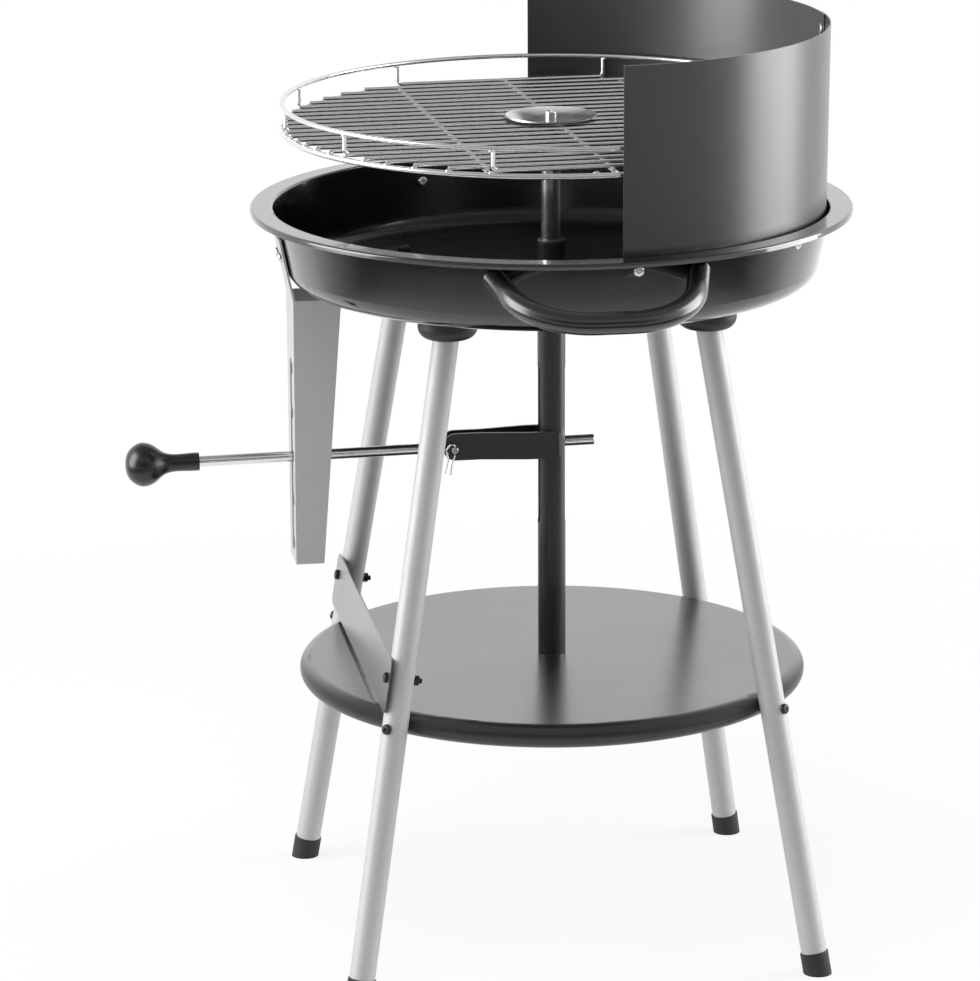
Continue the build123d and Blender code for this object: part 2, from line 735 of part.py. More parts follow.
seam_plane = Plane(
    origin=(0, screen_outer(seam_screw_height) + seat_gap, seam_screw_height),
    x_dir=(1, 0, 0),
    z_dir=(0, cos(screen_lean), -sin(screen_lean)),
)
screen_halves = (
    ("windscreen_right", 0.0, screen_start, 90 + screen_overlap),
    ("windscreen_left", screen_sheet + seat_gap, 90 - screen_overlap, 180 - screen_start),
)
for name, inset, start, end in screen_halves:
    a = radians(start)
    edge_plane = Plane(origin=(0, 0, 0), x_dir=(cos(a), sin(a), 0), z_dir=(sin(a), -cos(a), 0))
    with BuildPart() as screen:
        with BuildSketch(edge_plane):
            Polygon(
                (screen_outer(screen_bottom) - inset, screen_bottom),
                (screen_outer(screen_top) - inset, screen_top),
                (screen_outer(screen_top) - inset - screen_sheet, screen_top),
                (screen_outer(screen_bottom) - inset - screen_sheet, screen_bottom),
                align=None,
            )
        revolve(axis=Axis.Z, revolution_arc=end - start)
        add(bore_on(screen_screw_planes, screw_shank + hole_gap, leg_radius), mode=Mode.SUBTRACT)
        add(bore_on([seam_plane], screw_shank + hole_gap, leg_radius), mode=Mode.SUBTRACT)
    save(screen.part, name)

nut_half = nut_flats / sqrt(3)
screen_gap = wall_inner(screen_screw_height) - screen_outer(screen_screw_height)
screen_wedge = nut_half * tan(wall_lean - screen_lean) + hollow_gap(nut_half, screen_foot)
screen_grip = bowl_sheet + screen_gap + 2 * (screen_sheet + seat_gap) + screen_wedge
with BuildPart() as screen_screws:
    with Locations(*screen_screw_planes):
        add(screw(screw_head_radius, screw_head, screw_shank, screen_grip + nut_height))
save(screen_screws.part, "windscreen_screws")

with BuildPart() as screen_nuts:
    with Locations(*screen_screw_planes):
        add(nut(nut_flats, nut_height, screw_shank + running_gap, screen_grip))
save(screen_nuts.part, "windscreen_nuts")

seam_head = screw_head / 2
seam_grip = 2 * (screen_sheet + seat_gap) + hollow_gap(screw_head_radius, screen_foot)
seam_back = Plane(origin=seam_plane.origin - seam_plane.z_dir * seam_grip, z_dir=-seam_plane.z_dir)
with BuildPart() as seam_rivet:
    with Locations(seam_plane, seam_back):
        add(screw(screw_head_radius, seam_head, screw_shank, seam_grip))
save(seam_rivet.part, "seam_rivet")

# Grate: a ring, bars across it, cross wires under the bars and a rail on bent-up bar ends
bar_height = ring_height + ring_wire + bar_wire - weld_sink
cross_height = bar_height - bar_wire - cross_wire + weld_sink
hub_top = bar_height - bar_wire
hub_bottom = cross_height - cross_wire - hub_below
grate_plane = Plane.XY.rotated((0, 0, grate_turn))
riser_top = rail_height - rail_wire + weld_sink
bar_reach = ring_radius - bar_short
bar_rows = int((ring_radius - bar_margin) / bar_pitch)
riser_rows = (0, (bar_rows + 1) // 2, bar_rows)
middle_gap = bolt_shank + 3 * bar_wire

with BuildPart() as grate_ring:
    with Locations((0, 0, ring_height)):
        Torus(ring_radius, ring_wire)
save(grate_ring.part, "grate_ring")

with BuildPart() as grate_rail:
    with Locations((0, 0, rail_height)):
        Torus(ring_radius, rail_wire)
save(grate_rail.part, "grate_rail")


def bar_plane(offset_x):
    """The upright plane of one bar: its X runs along the bar and its Y points up."""
    return Plane(
        origin=grate_plane.from_local_coords((offset_x, 0, 0)),
        x_dir=grate_plane.y_dir,
        z_dir=grate_plane.x_dir,
    )


with BuildPart() as grate_bars:
    for row in range(-bar_rows, bar_rows + 1):
        if abs(row) in riser_rows:
            continue
        half = sqrt(bar_reach**2 - (row * bar_pitch) ** 2)
        middle = grate_plane.from_local_coords((row * bar_pitch, 0, bar_height))
        with Locations(Plane(origin=middle, z_dir=grate_plane.y_dir)):
            Cylinder(bar_wire, 2 * half)
save(grate_bars.part, "grate_bars")

with BuildPart() as riser_bars:
    for row in sorted({sign * row for row in riser_rows for sign in (-1, 1)}):
        half = sqrt(ring_radius**2 - (row * bar_pitch) ** 2)
        if row == 0:
            runs = [
                [(sign * half, riser_top), (sign * half, bar_height), (sign * middle_gap, bar_height)]
                for sign in (-1, 1)
            ]
        else:
            runs = [
                [(-half, riser_top), (-half, bar_height), (half, bar_height), (half, riser_top)]
            ]
        for run in runs:
            with BuildLine(bar_plane(row * bar_pitch)) as bar_line:
                FilletPolyline(*run, radius=riser_bend)
            with BuildSketch(Plane(origin=bar_line.line @ 0, z_dir=bar_line.line % 0)):
                Circle(bar_wire)
            sweep(path=bar_line.line)
save(riser_bars.part, "grate_riser_bars")

with BuildPart() as cross_wires:
    for step in (-1, 0, 1):
        shift = cross_shift + step * cross_pitch
        half = sqrt((ring_radius - ring_wire) ** 2 - shift**2)
        start = grate_plane.from_local_coords((0, shift, cross_height))
        with Locations(Plane(origin=start, z_dir=grate_plane.x_dir)):
            Cylinder(cross_wire, 2 * half)
save(cross_wires.part, "grate_cross_wires")

hub_groove = grate_plane.from_local_coords((0, cross_shift, cross_height))
with BuildPart() as grate_hub:
    with Locations((0, 0, hub_bottom)):
        Cylinder(hub_radius, hub_top - hub_bottom, align=(Align.CENTER, Align.CENTER, Align.MIN))
        Cylinder(bolt_shank + running_gap, 4 * hub_radius, mode=Mode.SUBTRACT)
    with Locations(Plane(origin=hub_groove, x_dir=grate_plane.x_dir)):
        Box(
            4 * hub_radius,
            2 * (cross_wire + seat_gap),
            2 * hub_top - 2 * hub_bottom,
            align=(Align.CENTER, Align.CENTER, Align.MIN),
            mode=Mode.SUBTRACT,
        )
        Cylinder(cross_wire + seat_gap, 4 * hub_radius, rotation=(0, 90, 0), mode=Mode.SUBTRACT)
save(grate_hub.part, "grate_hub")

# Heat disc: a shallow dish on the bars over the hub, held by the screw that the grate turns on
disc_seat = bar_height + bar_wire
disc_top = disc_seat + disc_sheet
disc_round = (disc_radius**2 + disc_dish**2) / (2 * disc_dish)
with BuildPart() as heat_disc:
    with BuildSketch(Plane.XZ):
        with BuildLine():
            RadiusArc((0, disc_seat), (disc_radius, disc_seat + disc_dish), -disc_round)
            offset(amount=disc_sheet, side=Side.LEFT)
        make_face()
        with Locations((0, disc_seat)):
            Rectangle(2 * (bolt_shank + hole_gap), 8 * disc_dish, mode=Mode.SUBTRACT)
    revolve(axis=Axis.Z)
save(heat_disc.part, "heat_disc")

# Lift tube: slotted for the rod, with a seat on its top end that carries the hub
seat_top = hub_bottom - seat_gap
lift_top = seat_top - seat_thickness
lift_slot = 2 * (lift_radius * tan(tilt_limit) + rod_half + lift_error + slot_play)
lift_slot_middle = lever_height + pivot_reach * tan(rest)
with BuildPart() as lift_tube:
    with BuildSketch(Plane.XY.offset(lift_bottom)):
        Circle(lift_radius)
        Circle(lift_radius - lift_wall, mode=Mode.SUBTRACT)
    extrude(amount=lift_top - lift_bottom)
    with BuildSketch(Plane.XZ):
        with Locations((0, lift_slot_middle)):
            SlotOverall(lift_slot, 2 * slot_half, rotation=90)
    extrude(amount=2 * lift_radius, both=True, mode=Mode.SUBTRACT)
save(lift_tube.part, "lift_tube")

with BuildPart() as grate_seat:
    with Locations((0, 0, lift_top)):
        Cylinder(hub_radius, seat_thickness, align=(Align.CENTER, Align.CENTER, Align.MIN))
        Cylinder(
            lift_radius - lift_wall - running_gap,
            seat_spigot,
            align=(Align.CENTER, Align.CENTER, Align.MAX),
        )
        Cylinder(bolt_shank + running_gap, 3 * seat_spigot, mode=Mode.SUBTRACT)
save(grate_seat.part, "grate_seat")

disc_screw_length = disc_top + seat_gap - lift_top + seat_spigot / 2
with BuildPart() as disc_screw:
    with Locations((0, 0, disc_top + seat_gap)):
        add(screw(disc_cap_radius, disc_cap, bolt_shank, disc_screw_length))
save(disc_screw.part, "disc_screw")
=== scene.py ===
# %% [markdown]
# # Dressing a charcoal grill
# The grill arrives as a frame of plain solids that already have their real size and place. This lesson
# gives every one of them its finish: glossy enamel on the bowl, satin paint on the windscreen, silver
# paint on the legs, chrome on the wires. It then adds the small things that are easier to make in
# Blender than in a solid modeller, such as screw recesses, threads and weld beads.

# %% Load the frame
import json
import math

import bmesh
import bpy
import numpy as np
from mathutils import Matrix, Vector, geometry, noise


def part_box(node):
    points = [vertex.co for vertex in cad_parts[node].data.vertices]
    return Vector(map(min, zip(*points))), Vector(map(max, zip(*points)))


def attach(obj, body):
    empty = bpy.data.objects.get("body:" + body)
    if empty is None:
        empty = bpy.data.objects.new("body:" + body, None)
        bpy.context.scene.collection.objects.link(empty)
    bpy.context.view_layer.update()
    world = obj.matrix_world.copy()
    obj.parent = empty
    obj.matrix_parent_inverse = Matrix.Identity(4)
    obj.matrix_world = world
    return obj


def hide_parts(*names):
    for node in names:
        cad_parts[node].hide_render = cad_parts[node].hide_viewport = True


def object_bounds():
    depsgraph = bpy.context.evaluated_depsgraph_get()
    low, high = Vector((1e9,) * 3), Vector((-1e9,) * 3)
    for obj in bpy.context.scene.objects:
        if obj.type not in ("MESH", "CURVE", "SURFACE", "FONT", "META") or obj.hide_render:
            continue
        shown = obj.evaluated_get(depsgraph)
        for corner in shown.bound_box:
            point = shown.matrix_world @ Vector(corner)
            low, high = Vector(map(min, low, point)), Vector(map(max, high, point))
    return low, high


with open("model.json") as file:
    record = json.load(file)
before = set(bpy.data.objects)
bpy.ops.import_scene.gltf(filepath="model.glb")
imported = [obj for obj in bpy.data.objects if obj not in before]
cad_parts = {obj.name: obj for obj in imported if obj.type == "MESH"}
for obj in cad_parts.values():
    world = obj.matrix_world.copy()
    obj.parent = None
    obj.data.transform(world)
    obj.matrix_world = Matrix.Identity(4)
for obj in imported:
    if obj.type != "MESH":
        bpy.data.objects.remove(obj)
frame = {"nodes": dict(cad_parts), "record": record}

cad_low, cad_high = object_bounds()
print("loaded", len(frame["nodes"]), "nodes,", [round(side, 3) for side in cad_high - cad_low], "m")

# %% [markdown]
# ## The camera
# The photograph was taken from about four and a half metres away with a long lens, a little above the
# rim. A far camera with a long lens keeps the ellipses of the bowl and the shelf flat, and a near one
# with a wide lens would make the front legs look much longer than the back ones. The lens length
# belongs to a sensor of 36 mm on the picture's longer side, which is its height here.

# %% Camera
camera_place = Vector((4.2497, -0.7291, 1.5479))
camera_aim = Vector((0.0, -0.0582, 0.4186))
camera_roll = math.radians(-0.27)
lens_length = 175.23
sensor_side = 36.0
sight_depth = 200.0


def turn_towards(thing, place, aim, roll=0.0):
    """Puts a camera or a lamp at a place and points it at another."""
    facing = (aim - place).to_track_quat("-Z", "Y").to_matrix().to_4x4()
    thing.matrix_world = Matrix.Translation(place) @ facing @ Matrix.Rotation(roll, 4, "Z")


scene = bpy.context.scene
camera = bpy.data.objects.new("camera", bpy.data.cameras.new("camera"))
scene.collection.objects.link(camera)
camera.data.lens = lens_length
camera.data.sensor_width = sensor_side
camera.data.clip_end = sight_depth
turn_towards(camera, camera_place, camera_aim, camera_roll)
scene.camera = camera
scene.view_settings.view_transform = "Standard"
print("camera stands", round((camera_place - camera_aim).length, 2), "m away")

# %% [markdown]
# ## Floor and background
# The grill stands in front of plain white paper. Nodes do most of the work from here on, so a few small
# functions come first: each makes one node, sets or links its sockets, and returns what it puts out.
# Written node by node, the same trees would be several times as long.

# %% Small node helpers
def feed(tree, socket, value):
    """Sets a socket to a plain value, or links another socket to it."""
    if isinstance(value, bpy.types.NodeSocket):
        tree.links.new(value, socket)
    else:
        socket.default_value = value


def map_range(tree, value, low, high, to_low=0.0, to_high=1.0):
    """Maps a value onto a new range. The four limits are numbers or sockets."""
    node = tree.nodes.new("ShaderNodeMapRange")
    tree.links.new(value, node.inputs["Value"])
    limits = {"From Min": low, "From Max": high, "To Min": to_low, "To Max": to_high}
    for label, limit in limits.items():
        feed(tree, node.inputs[label], limit)
    return node.outputs["Result"]


def calculate(tree, operation, first, second):
    """One Math node on two sockets."""
    node = tree.nodes.new("ShaderNodeMath")
    node.operation = operation
    tree.links.new(first, node.inputs[0])
    tree.links.new(second, node.inputs[1])
    return node.outputs[0]


def vector_value(tree, operation, vector, other=(0, 0, 0)):
    """The length of a vector, or its dot product with a fixed one or with another socket."""
    node = tree.nodes.new("ShaderNodeVectorMath")
    node.operation = operation
    tree.links.new(vector, node.inputs[0])
    feed(tree, node.inputs[1], other)
    return node.outputs["Value"]


def coordinates(tree, kind):
    """The place on the surface, or the direction in the world, that is being shaded."""
    return tree.nodes.new("ShaderNodeTexCoord").outputs[kind]


def seen_rays(tree):
    """A value of 1 for the rays that show the background: seen directly, mirrored or through glass."""
    path = tree.nodes.new("ShaderNodeLightPath")
    mirrored = calculate(tree, "MAXIMUM", path.outputs["Is Camera Ray"], path.outputs["Is Glossy Ray"])
    return calculate(tree, "MAXIMUM", mirrored, path.outputs["Is Transmission Ray"])


print("node helpers are ready")

# %% [markdown]
# ### White paper
# A lit white floor is never quite even. It could be lit harder until it burns out to white, but then
# the grill would burn out too. So what the camera and the reflections see of the paper is mostly a
# steady white, and close to the grill a share of it stays the lit surface, which keeps the soft shadow
# under the feet. The Light Path node tells the rays that show the background from those that only carry
# light.

# %% White paper floor
paper_half = 40.0
paper_white = (0.86, 0.86, 0.86, 1)
paper_roughness = 0.9
steady_near = 0.84
steady_reach = (0.55, 1.5)


def make_paper():
    """A lit surface near the grill that fades to a steady white further out."""
    material = bpy.data.materials.new("white_paper")
    material.use_nodes = True
    tree = material.node_tree
    lit = tree.nodes["Principled BSDF"]
    lit.inputs["Base Color"].default_value = paper_white
    lit.inputs["Roughness"].default_value = paper_roughness
    lit.inputs["Specular IOR Level"].default_value = 0.0
    steady = tree.nodes.new("ShaderNodeEmission")
    steady.inputs["Strength"].default_value = 1.0
    distance = vector_value(tree, "LENGTH", coordinates(tree, "Object"))
    steadiness = map_range(tree, distance, *steady_reach, steady_near, 1.0)
    mix = tree.nodes.new("ShaderNodeMixShader")
    tree.links.new(calculate(tree, "MULTIPLY", seen_rays(tree), steadiness), mix.inputs["Fac"])
    tree.links.new(lit.outputs[0], mix.inputs[1])
    tree.links.new(steady.outputs[0], mix.inputs[2])
    tree.links.new(mix.outputs[0], tree.nodes["Material Output"].inputs["Surface"])
    return material


def add_sheet(name, half_side, height, material):
    """A flat sheet above the floor's level that belongs to the studio, not to the grill."""
    mesh = bpy.data.meshes.new(name)
    corners = [(x * half_side, y * half_side, 0) for x, y in ((-1, -1), (1, -1), (1, 1), (-1, 1))]
    mesh.from_pydata(corners, [], [(0, 1, 2, 3)])
    mesh.materials.append(material)
    sheet = bpy.data.objects.new(name, mesh)
    sheet.location.z = cad_low.z + height
    scene.collection.objects.link(sheet)
    return sheet


floor = add_sheet("floor", paper_half, 0.0, make_paper())
print("floor at", round(floor.location.z, 4), "m")

# %% [markdown]
# ## The room in the reflections
# Black paint and chrome show little colour of their own: they show the room. In a photo studio the
# paper behind the object is bright, the ceiling is dim and the side behind the photographer is dark.
# A room of real walls would do it, at the cost of longer light paths. Here the world is painted that
# way for mirrored rays, by their direction, and is white for the camera. For the rays that only carry
# light it is an even, weak grey.

# %% World
ceiling_level = 0.34
ceiling_range = (0.45, 0.80)
dark_side_level = 0.07
dark_side_range = (0.30, 0.85)
dark_side_top = (0.30, 0.60)
up = (0, 0, 1)
camera_side = Vector((camera_place.x, camera_place.y, 0)).normalized()

world = bpy.data.worlds.new("studio")
scene.world = world
world.use_nodes = True
tree = world.node_tree
direction = coordinates(tree, "Generated")
height = vector_value(tree, "DOT_PRODUCT", direction, up)
frontness = vector_value(tree, "DOT_PRODUCT", direction, camera_side)
ceiling = map_range(tree, height, *ceiling_range, 1.0, ceiling_level)
low = map_range(tree, height, *dark_side_top, 1.0, 0.0)
dark_side = calculate(tree, "MULTIPLY", low, map_range(tree, frontness, *dark_side_range))
front_light = map_range(tree, dark_side, 0.0, 1.0, 1.0, dark_side_level)
mirrored_room = calculate(tree, "MULTIPLY", ceiling, front_light)
print("room with a dim ceiling and a dark side towards", [round(value, 2) for value in camera_side])

# %% [markdown]
# A world can hold two backgrounds. The rays that show the room take the painted one, and all the others
# take the weak grey, so the reflections can be set without changing the light.

# %% Light from the world
ambient_level = 0.40
white = (1, 1, 1, 1)

path = tree.nodes.new("ShaderNodeLightPath")
shown_room = calculate(tree, "MAXIMUM", mirrored_room, path.outputs["Is Camera Ray"])
room = tree.nodes.new("ShaderNodeBackground")
room.inputs["Color"].default_value = white
tree.links.new(shown_room, room.inputs["Strength"])
ambient = tree.nodes["Background"]
ambient.inputs["Color"].default_value = white
ambient.inputs["Strength"].default_value = ambient_level
mix = tree.nodes.new("ShaderNodeMixShader")
tree.links.new(seen_rays(tree), mix.inputs["Fac"])
tree.links.new(ambient.outputs[0], mix.inputs[1])
tree.links.new(room.outputs[0], mix.inputs[2])
tree.links.new(mix.outputs[0], tree.nodes["World Output"].inputs["Surface"])
print("world light at", ambient_level)

# %% [markdown]
# ### Dark cloth on the floor
# The bowl's wall leans outward, so it mirrors the floor about a metre in front of it. In the photo its
# lower half is grey and its upper half black: the floor is white up to there and dark beyond. Painting
# the wall in two tones would look wrong from any other side. A cloth on the floor does it with light.
# It shows only in reflections, and it fades out at its edges so that no reflection shows where it ends.

# %% Cloth material
cloth_near = (1.35, 1.42)
cloth_far = (2.6, 3.4)
cloth_side = (-0.35, 0.25)
cloth_black = (0.03, 0.03, 0.03, 1)

cloth_material = bpy.data.materials.new("dark_cloth")
cloth_material.use_nodes = True
tree = cloth_material.node_tree
dark = tree.nodes["Principled BSDF"]
dark.inputs["Base Color"].default_value = cloth_black
dark.inputs["Roughness"].default_value = 1.0
dark.inputs["Specular IOR Level"].default_value = 0.0
place = coordinates(tree, "Object")
distance = vector_value(tree, "LENGTH", place)
sideways = calculate(tree, "DIVIDE", vector_value(tree, "DOT_PRODUCT", place, camera_side), distance)
inner_edge = map_range(tree, distance, *cloth_near)
outer_edge = map_range(tree, distance, *cloth_far, 1.0, 0.0)
band = calculate(tree, "MULTIPLY", inner_edge, outer_edge)
spread = calculate(tree, "MULTIPLY", band, map_range(tree, sideways, *cloth_side))
clear = tree.nodes.new("ShaderNodeBsdfTransparent")
mix = tree.nodes.new("ShaderNodeMixShader")
tree.links.new(spread, mix.inputs["Fac"])
tree.links.new(clear.outputs[0], mix.inputs[1])
tree.links.new(dark.outputs[0], mix.inputs[2])
tree.links.new(mix.outputs[0], tree.nodes["Material Output"].inputs["Surface"])
print("cloth from", cloth_near[0], "to", cloth_far[1], "m")

# %% [markdown]
# The cloth lies a hair above the paper, so that the two don't fight over which is on top. Its rings are
# centred a little behind the post, where the bowl's wall needs them. An object's ray visibility decides
# who sees it: only mirrored rays do, so it casts no shadow and dims no light.

# %% Cloth on the floor
cloth_lift = 0.002
cloth_back = 0.235

cloth = add_sheet("dark_cloth", cloth_far[1], cloth_lift, cloth_material)
cloth.location -= cloth_back * camera_side
for kind in ("camera", "diffuse", "transmission", "volume_scatter", "shadow"):
    setattr(cloth, "visible_" + kind, False)
print("cloth centred at", [round(value, 3) for value in cloth.location])

# %% [markdown]
# ## Soft boxes
# Two tall soft boxes do most of the work. The right one draws the broad highlight on the outside of
# the windscreen, the left one the highlight on its inside and the light on the bracket and the front
# plate. An area lamp is both the light and the shape that shows in a shiny surface. The one above only
# fills the tops: its mirror image would lie as a bright band on the bowl's rounded edges, so reflections
# leave it out.

# %% Soft boxes
camera_angle = math.atan2(camera_place.y, camera_place.x)
object_middle = (cad_low + cad_high) / 2


def studio_place(turn, reach, height):
    """A place in the studio: degrees to the right of the camera, metres from the post, metres up."""
    angle = camera_angle + math.radians(turn)
    return Vector((reach * math.cos(angle), reach * math.sin(angle), height))


def add_softbox(name, place, size, watts):
    """A rectangular lamp that points at the grill's middle. The size is its width and height."""
    lamp = bpy.data.lights.new(name, "AREA")
    lamp.shape = "RECTANGLE"
    lamp.size, lamp.size_y = size
    lamp.energy = watts
    softbox = bpy.data.objects.new(name, lamp)
    scene.collection.objects.link(softbox)
    turn_towards(softbox, place, object_middle)
    print(name, "at", [round(value, 2) for value in place])
    return softbox


above_place = studio_place(turn=-25, reach=1.6, height=3.4)
right_place = studio_place(turn=100, reach=2.3, height=1.1)
left_place = studio_place(turn=-82, reach=2.4, height=1.2)
above = add_softbox("softbox_above", above_place, size=(2.4, 1.6), watts=45)
above.visible_glossy = False
right = add_softbox("softbox_right", right_place, size=(1.4, 2.2), watts=55)
left = add_softbox("softbox_left", left_place, size=(1.5, 2.2), watts=58)

# %% [markdown]
# Seen from the other sides the shiny shelf would mirror a whole soft box and turn white. A photographer
# holds a black card in between. Light linking does the same: it leaves one object out of a lamp's
# light.

# %% Keep the soft boxes out of the shelf
shaded = bpy.data.collections.new("shaded_from_softboxes")
shaded.objects.link(frame["nodes"]["shelf"])
shaded.collection_objects[0].light_linking.link_state = "EXCLUDE"
for softbox in (right, left):
    softbox.light_linking.receiver_collection = shaded

# %% [markdown]
# ## Shared effects as node groups
# Several finishes need the same few effects. A node group is built once, with named inputs, and each
# material places it with its own values. All of them read Object coordinates, which here are metres in
# the grill's own frame, so a grain of 0.4 mm is a scale of 2500 and stays put when a part moves. Image
# textures would need every sheet and wire unwrapped first, and these need nothing.

# %% Helpers for groups
FLOAT = "NodeSocketFloat"


def new_group(name, inputs, outputs):
    """A shader group, with the sockets that its inside reads from and writes to."""
    group = bpy.data.node_groups.new(name, "ShaderNodeTree")
    for label, value in inputs.items():
        socket = group.interface.new_socket(label, in_out="INPUT", socket_type=FLOAT)
        socket.default_value = value
    for label in outputs:
        group.interface.new_socket(label, in_out="OUTPUT", socket_type=FLOAT)
    start = group.nodes.new("NodeGroupInput")
    end = group.nodes.new("NodeGroupOutput")
    return group, start.outputs, end.inputs


def place_group(tree, group, **values):
    """Puts a group into a tree with its own values, and returns what the group puts out."""
    node = tree.nodes.new("ShaderNodeGroup")
    node.node_tree = group
    for label, value in values.items():
        node.inputs[label.replace("_", " ")].default_value = value
    return node.outputs[0]


def object_noise(tree, scale, detail=2.0):
    """A noise in metres. Its scale is a number or a socket."""
    texture = tree.nodes.new("ShaderNodeTexNoise")
    texture.inputs["Detail"].default_value = detail
    tree.links.new(coordinates(tree, "Object"), texture.inputs["Vector"])
    feed(tree, texture.inputs["Scale"], scale)
    return texture.outputs["Fac"]


print("group helpers are ready")

# %% [markdown]
# ### Uneven gloss
# No painted or plated surface is equally glossy all over. A soft noise that moves the roughness a
# little between a least and a most value makes reflections break up the way they do on a real sheet.
# The noise rarely leaves its middle range, so that range is stretched over the two values.

# %% Group: uneven gloss
patch_detail = 3.0
patch_range = (0.3, 0.7)

uneven_gloss, given, result = new_group(
    "uneven_gloss", {"Scale": 20, "Least": 0.2, "Most": 0.3}, ["Roughness"]
)
patches = object_noise(uneven_gloss, given["Scale"], patch_detail)
gloss = map_range(uneven_gloss, patches, *patch_range, given["Least"], given["Most"])
uneven_gloss.links.new(gloss, result["Roughness"])
print("group", uneven_gloss.name)

# %% [markdown]
# ### Paint skin
# Sprayed and fired coats dry with a faint skin like an orange's. It is far too fine to model, so it is
# a height for a Bump node, which only tilts the light. Two noises make it: one for the slow waves in
# the sheet and one for the fine grain of the coat.

# %% Group: paint skin
paint_skin, given, result = new_group(
    "paint_skin", {"Grain": 900, "Wave": 40, "Wave share": 0.5}, ["Height"]
)
blend = paint_skin.nodes.new("ShaderNodeMix")
paint_skin.links.new(given["Wave share"], blend.inputs["Factor"])
paint_skin.links.new(object_noise(paint_skin, given["Grain"]), blend.inputs["A"])
paint_skin.links.new(object_noise(paint_skin, given["Wave"]), blend.inputs["B"])
paint_skin.links.new(blend.outputs["Result"], result["Height"])
print("group", paint_skin.name)

# %% [markdown]
# ### Rubbed edges with a painted highlight
# Paint is thinnest where a sheet is cut or bent, and that is where the metal first shows. On the black
# paints this lighter edge is also a painted highlight: it stands in for the thin bright line that a
# rounded edge mirrors. Blender's Pointiness finds edges too, but only on dense meshes. The Bevel node
# works on any: it gives the normal of a slightly rounded edge. Where it differs from the true normal
# there is an edge, and a noise breaks the line up so that it doesn't look drawn.

# %% Group: rubbed edges with a painted highlight
bevel_samples = 4
edge_range = (0.96, 0.8)
break_scale = 180.0
break_detail = 4.0
break_range = (0.42, 0.6)

edge_wear_and_highlight, given, result = new_group("edge_wear_and_highlight", {"Width": 0.001, "Amount": 0.5}, ["Mask"])
rounded = edge_wear_and_highlight.nodes.new("ShaderNodeBevel")
rounded.samples = bevel_samples
edge_wear_and_highlight.links.new(given["Width"], rounded.inputs["Radius"])
surface = edge_wear_and_highlight.nodes.new("ShaderNodeNewGeometry")
normals = rounded.outputs["Normal"], surface.outputs["Normal"]
edge = map_range(edge_wear_and_highlight, vector_value(edge_wear_and_highlight, "DOT_PRODUCT", *normals), *edge_range)
breaks = object_noise(edge_wear_and_highlight, break_scale, break_detail)
spots = calculate(edge_wear_and_highlight, "MULTIPLY", edge, map_range(edge_wear_and_highlight, breaks, *break_range))
mask = calculate(edge_wear_and_highlight, "MULTIPLY", spots, given["Amount"])
edge_wear_and_highlight.links.new(mask, result["Mask"])
print("group", edge_wear_and_highlight.name)

# %% [markdown]
# ### Facing up
# Some effects belong only on what faces up: dust settles there, and a board is polished on its face
# but not on its edge. The mask is the upward part of the normal, so it needs no painting by hand.

# %% Group: facing up
facing_up, given, result = new_group("facing_up", {"From": 0.5, "To": 0.98}, ["Mask"])
surface = facing_up.nodes.new("ShaderNodeNewGeometry")
upward = vector_value(facing_up, "DOT_PRODUCT", surface.outputs["Normal"], up)
facing_up.links.new(map_range(facing_up, upward, given["From"], given["To"]), result["Mask"])
print("group", facing_up.name)

# %% [markdown]
# ### Settled dust
# A little dust lies on whatever faces up. The mask of the group before is broken up by a fine noise,
# and it lightens the colour by a few percent. A group can hold another group, so nothing is built
# twice.

# %% Group: settled dust
speck_detail = 1.0
speck_range = (0.6, 0.75)

settled_dust, given, result = new_group("settled_dust", {"Speck": 1200, "Amount": 0.3}, ["Mask"])
specks = map_range(settled_dust, object_noise(settled_dust, given["Speck"], speck_detail), *speck_range)
spots = calculate(settled_dust, "MULTIPLY", place_group(settled_dust, facing_up), specks)
mask = calculate(settled_dust, "MULTIPLY", spots, given["Amount"])
settled_dust.links.new(mask, result["Mask"])
print("group", settled_dust.name)

# %% [markdown]
# ### Metal flake
# Silver paint holds tiny aluminium flakes, and plated metal grows in small crystals. Both are cells of
# slightly different brightness. A noise would give soft clouds, and a Voronoi texture gives each cell
# one steady value: small cells for flake, larger ones for crystals.

# %% Group: metal flake
metal_flake, given, result = new_group(
    "metal_flake", {"Scale": 2500, "Least": 0.85, "Most": 1.0}, ["Brightness"]
)
cells = metal_flake.nodes.new("ShaderNodeTexVoronoi")
metal_flake.links.new(coordinates(metal_flake, "Object"), cells.inputs["Vector"])
metal_flake.links.new(given["Scale"], cells.inputs["Scale"])
single = metal_flake.nodes.new("ShaderNodeSeparateColor")
metal_flake.links.new(cells.outputs["Color"], single.inputs[0])
brightness = map_range(metal_flake, single.outputs[0], 0.0, 1.0, given["Least"], given["Most"])
metal_flake.links.new(brightness, result["Brightness"])
print("group", metal_flake.name)

# %% [markdown]
# ## Materials
# Each material belongs to one slot of the record, and each slot to the pieces with that finish. A
# material starts from the same small function: it makes the Principled shader, takes the plain numbers
# and returns the node tree for the parts that vary. Wear and dust are colours laid over the base, and
# the wear on the black paints is also a painted edge highlight.

# %% Material helpers
slot_materials = {}


def grey(level, warmth=0.0):
    """A neutral colour, moved slightly towards red and away from blue by warmth."""
    return (level * (1 + warmth), level, level * (1 - warmth), 1)


def new_finish(slot, **values):
    """A material with a Principled shader. Values are the shader's own sockets, by name."""
    material = bpy.data.materials.new(slot)
    material.use_nodes = True
    tree = material.node_tree
    shader = tree.nodes["Principled BSDF"]
    for label, value in values.items():
        shader.inputs[label.replace("_", " ")].default_value = value
    slot_materials[slot] = material
    return tree, shader


def vary_gloss(tree, shader, scale, least, most):
    """A roughness that changes softly over the surface."""
    roughness = place_group(tree, uneven_gloss, Scale=scale, Least=least, Most=most)
    tree.links.new(roughness, shader.inputs["Roughness"])


